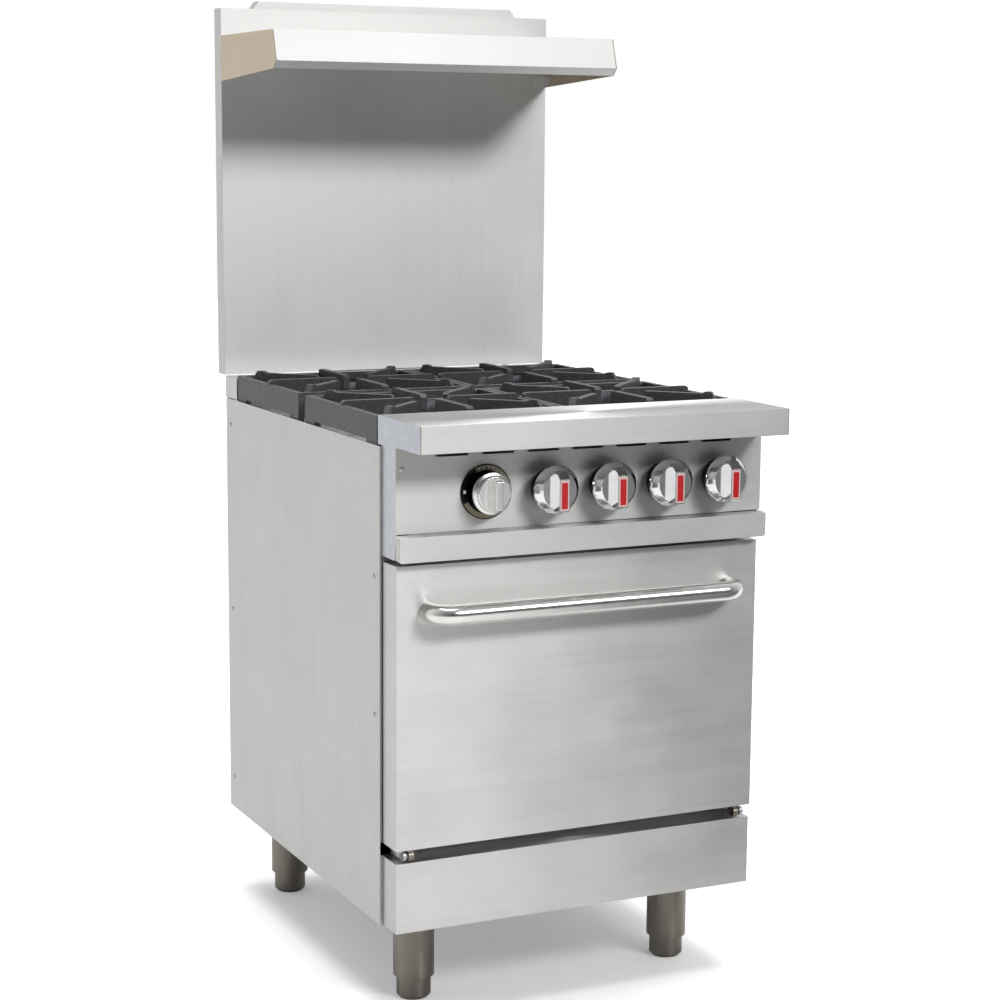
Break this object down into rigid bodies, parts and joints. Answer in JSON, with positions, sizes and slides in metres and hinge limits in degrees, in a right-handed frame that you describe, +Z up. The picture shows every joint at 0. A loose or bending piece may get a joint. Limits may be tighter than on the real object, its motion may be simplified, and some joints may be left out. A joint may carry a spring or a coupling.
{
  "type": "commercial gas range",
  "caption": "Restaurant gas range: open top burners under cast grates, knob panel under a landing ledge, drop-down oven door, crumb tray, tall backguard with a high shelf, on legs.",
  "frame": {"origin": "on the floor, under the middle of the whole range's width and depth", "axes": "+X to the cook's right, +Y from the control panel to the backguard, +Z up"},
  "size_m": [0.6144, 0.872, 1.53],
  "materials": {
    "steel": "brushed",
    "leg_steel": "brushed",
    "galvanised": "spangled matt",
    "chrome": "polished",
    "satin_knob": "satin",
    "cast_iron": "rough",
    "burner_cast": "cast, matt",
    "enamel": "speckled porcelain enamel",
    "mineral_wool": "fibrous",
    "seal": "woven",
    "black_pipe": "black pipe",
    "brass": "satin",
    "aluminium_tube": "drawn",
    "dial_black": "satin",
    "screw_steel": "zinc plated"
  },
  "bodies": {
    "root": {"base_frame": "galvanised", "leg_tubes": "leg_steel", "side_panel_left": "steel", "side_panel_right": "steel", "back_panel": "galvanised", "oven_front_frame": "steel", "oven_liner": "enamel", "oven_deck": "enamel", "oven_insulation": "mineral_wool", "rack_guides": "chrome", "oven_burner": "cast_iron", "kick_panel": "steel", "hinge_brackets": "galvanised", "fascia": "steel", "fascia_cheeks": "galvanised", "landing_ledge": "steel", "burner_box": "galvanised", "grate_supports": "galvanised", "rear_rail": "steel", "backguard_skin": "steel", "backguard_back": "galvanised", "backguard_brackets": "galvanised", "flue_duct": "galvanised", "flue_cap": "steel", "shelf_top": "steel", "shelf_ends": "steel", "shelf_brackets": "steel", "gas_manifold": "black_pipe", "gas_inlet_pipe": "black_pipe", "burner_valves": "brass", "burner_venturis": "cast_iron", "burner_heads": "burner_cast", "pilot_assembly": "brass", "thermostat": "brass", "oven_gas_line": "aluminium_tube", "oven_safety_valve": "brass", "dial_plate": "dial_black", "screws": "screw_steel"},
    "oven_door": {"door_skin": "steel", "door_liner": "enamel", "door_insulation": "mineral_wool", "door_gasket": "seal", "door_handle": "chrome", "door_hinges": "galvanised"},
    "crumb_tray": {"crumb_tray": "steel"},
    "thermostat_knob": {"thermostat_knob": "satin_knob"},
    "oven_rack_lower": {"oven_rack_lower": "chrome"},
    "oven_rack_upper": {"oven_rack_upper": "chrome"},
    "burner_knob_1": {"burner_knob_1": "chrome"},
    "burner_knob_2": {"burner_knob_2": "chrome"},
    "burner_knob_3": {"burner_knob_3": "chrome"},
    "burner_knob_4": {"burner_knob_4": "chrome"},
    "grate_front_left": {"grate_front_left": "cast_iron"},
    "grate_front_right": {"grate_front_right": "cast_iron"},
    "grate_rear_left": {"grate_rear_left": "cast_iron"},
    "grate_rear_right": {"grate_rear_right": "cast_iron"},
    "foot_front_left": {"foot_front_left": "leg_steel"},
    "foot_front_right": {"foot_front_right": "leg_steel"},
    "foot_rear_left": {"foot_rear_left": "leg_steel"},
    "foot_rear_right": {"foot_rear_right": "leg_steel"}
  },
  "joints": [
    {"name": "door_hinge", "type": "hinge", "parent": "root", "child": "oven_door", "pos_m": [0, -0.344, 0.262], "axis": [1, 0, 0], "range_deg": [0, 90], "stiffness_Nm_per_rad": 8, "springref_deg": -17.19},
    {"name": "crumb_tray_slide", "type": "slide", "parent": "root", "child": "crumb_tray", "axis": [0, -1, 0], "range_m": [0, 0.42]},
    {"name": "thermostat_turn", "type": "hinge", "parent": "root", "child": "thermostat_knob", "pos_m": [-0.162, -0.355, 0.797], "axis": [0, -1, 0], "range_deg": [0, 270]},
    {"name": "burner_knob_1_turn", "type": "hinge", "parent": "root", "child": "burner_knob_1", "pos_m": [-0.061, -0.355, 0.797], "axis": [0, -1, 0], "range_deg": [0, 90]},
    {"name": "burner_knob_2_turn", "type": "hinge", "parent": "root", "child": "burner_knob_2", "pos_m": [0.035, -0.355, 0.797], "axis": [0, -1, 0], "range_deg": [0, 90]},
    {"name": "burner_knob_3_turn", "type": "hinge", "parent": "root", "child": "burner_knob_3", "pos_m": [0.131, -0.355, 0.797], "axis": [0, -1, 0], "range_deg": [0, 90]},
    {"name": "burner_knob_4_turn", "type": "hinge", "parent": "root", "child": "burner_knob_4", "pos_m": [0.227, -0.355, 0.797], "axis": [0, -1, 0], "range_deg": [0, 90]},
    {"name": "oven_rack_lower_slide", "type": "slide", "parent": "root", "child": "oven_rack_lower", "axis": [0, -1, 0], "range_m": [0, 0.03]},
    {"name": "oven_rack_upper_slide", "type": "slide", "parent": "root", "child": "oven_rack_upper", "axis": [0, -1, 0], "range_m": [0, 0.03]},
    {"name": "grate_front_left_lift", "type": "slide", "parent": "root", "child": "grate_front_left", "axis": [0, 0, 1], "range_m": [0, 0.06]},
    {"name": "grate_front_right_lift", "type": "slide", "parent": "root", "child": "grate_front_right", "axis": [0, 0, 1], "range_m": [0, 0.06]},
    {"name": "grate_rear_left_lift", "type": "slide", "parent": "root", "child": "grate_rear_left", "axis": [0, 0, 1], "range_m": [0, 0.06]},
    {"name": "grate_rear_right_lift", "type": "slide", "parent": "root", "child": "grate_rear_right", "axis": [0, 0, 1], "range_m": [0, 0.06]},
    {"name": "foot_front_left_adjust", "type": "slide", "parent": "root", "child": "foot_front_left", "axis": [0, 0, -1], "range_m": [0, 0.025]},
    {"name": "foot_front_right_adjust", "type": "slide", "parent": "root", "child": "foot_front_right", "axis": [0, 0, -1], "range_m": [0, 0.025]},
    {"name": "foot_rear_left_adjust", "type": "slide", "parent": "root", "child": "foot_rear_left", "axis": [0, 0, -1], "range_m": [0, 0.025]},
    {"name": "foot_rear_right_adjust", "type": "slide", "parent": "root", "child": "foot_rear_right", "axis": [0, 0, -1], "range_m": [0, 0.025]}
  ]
}
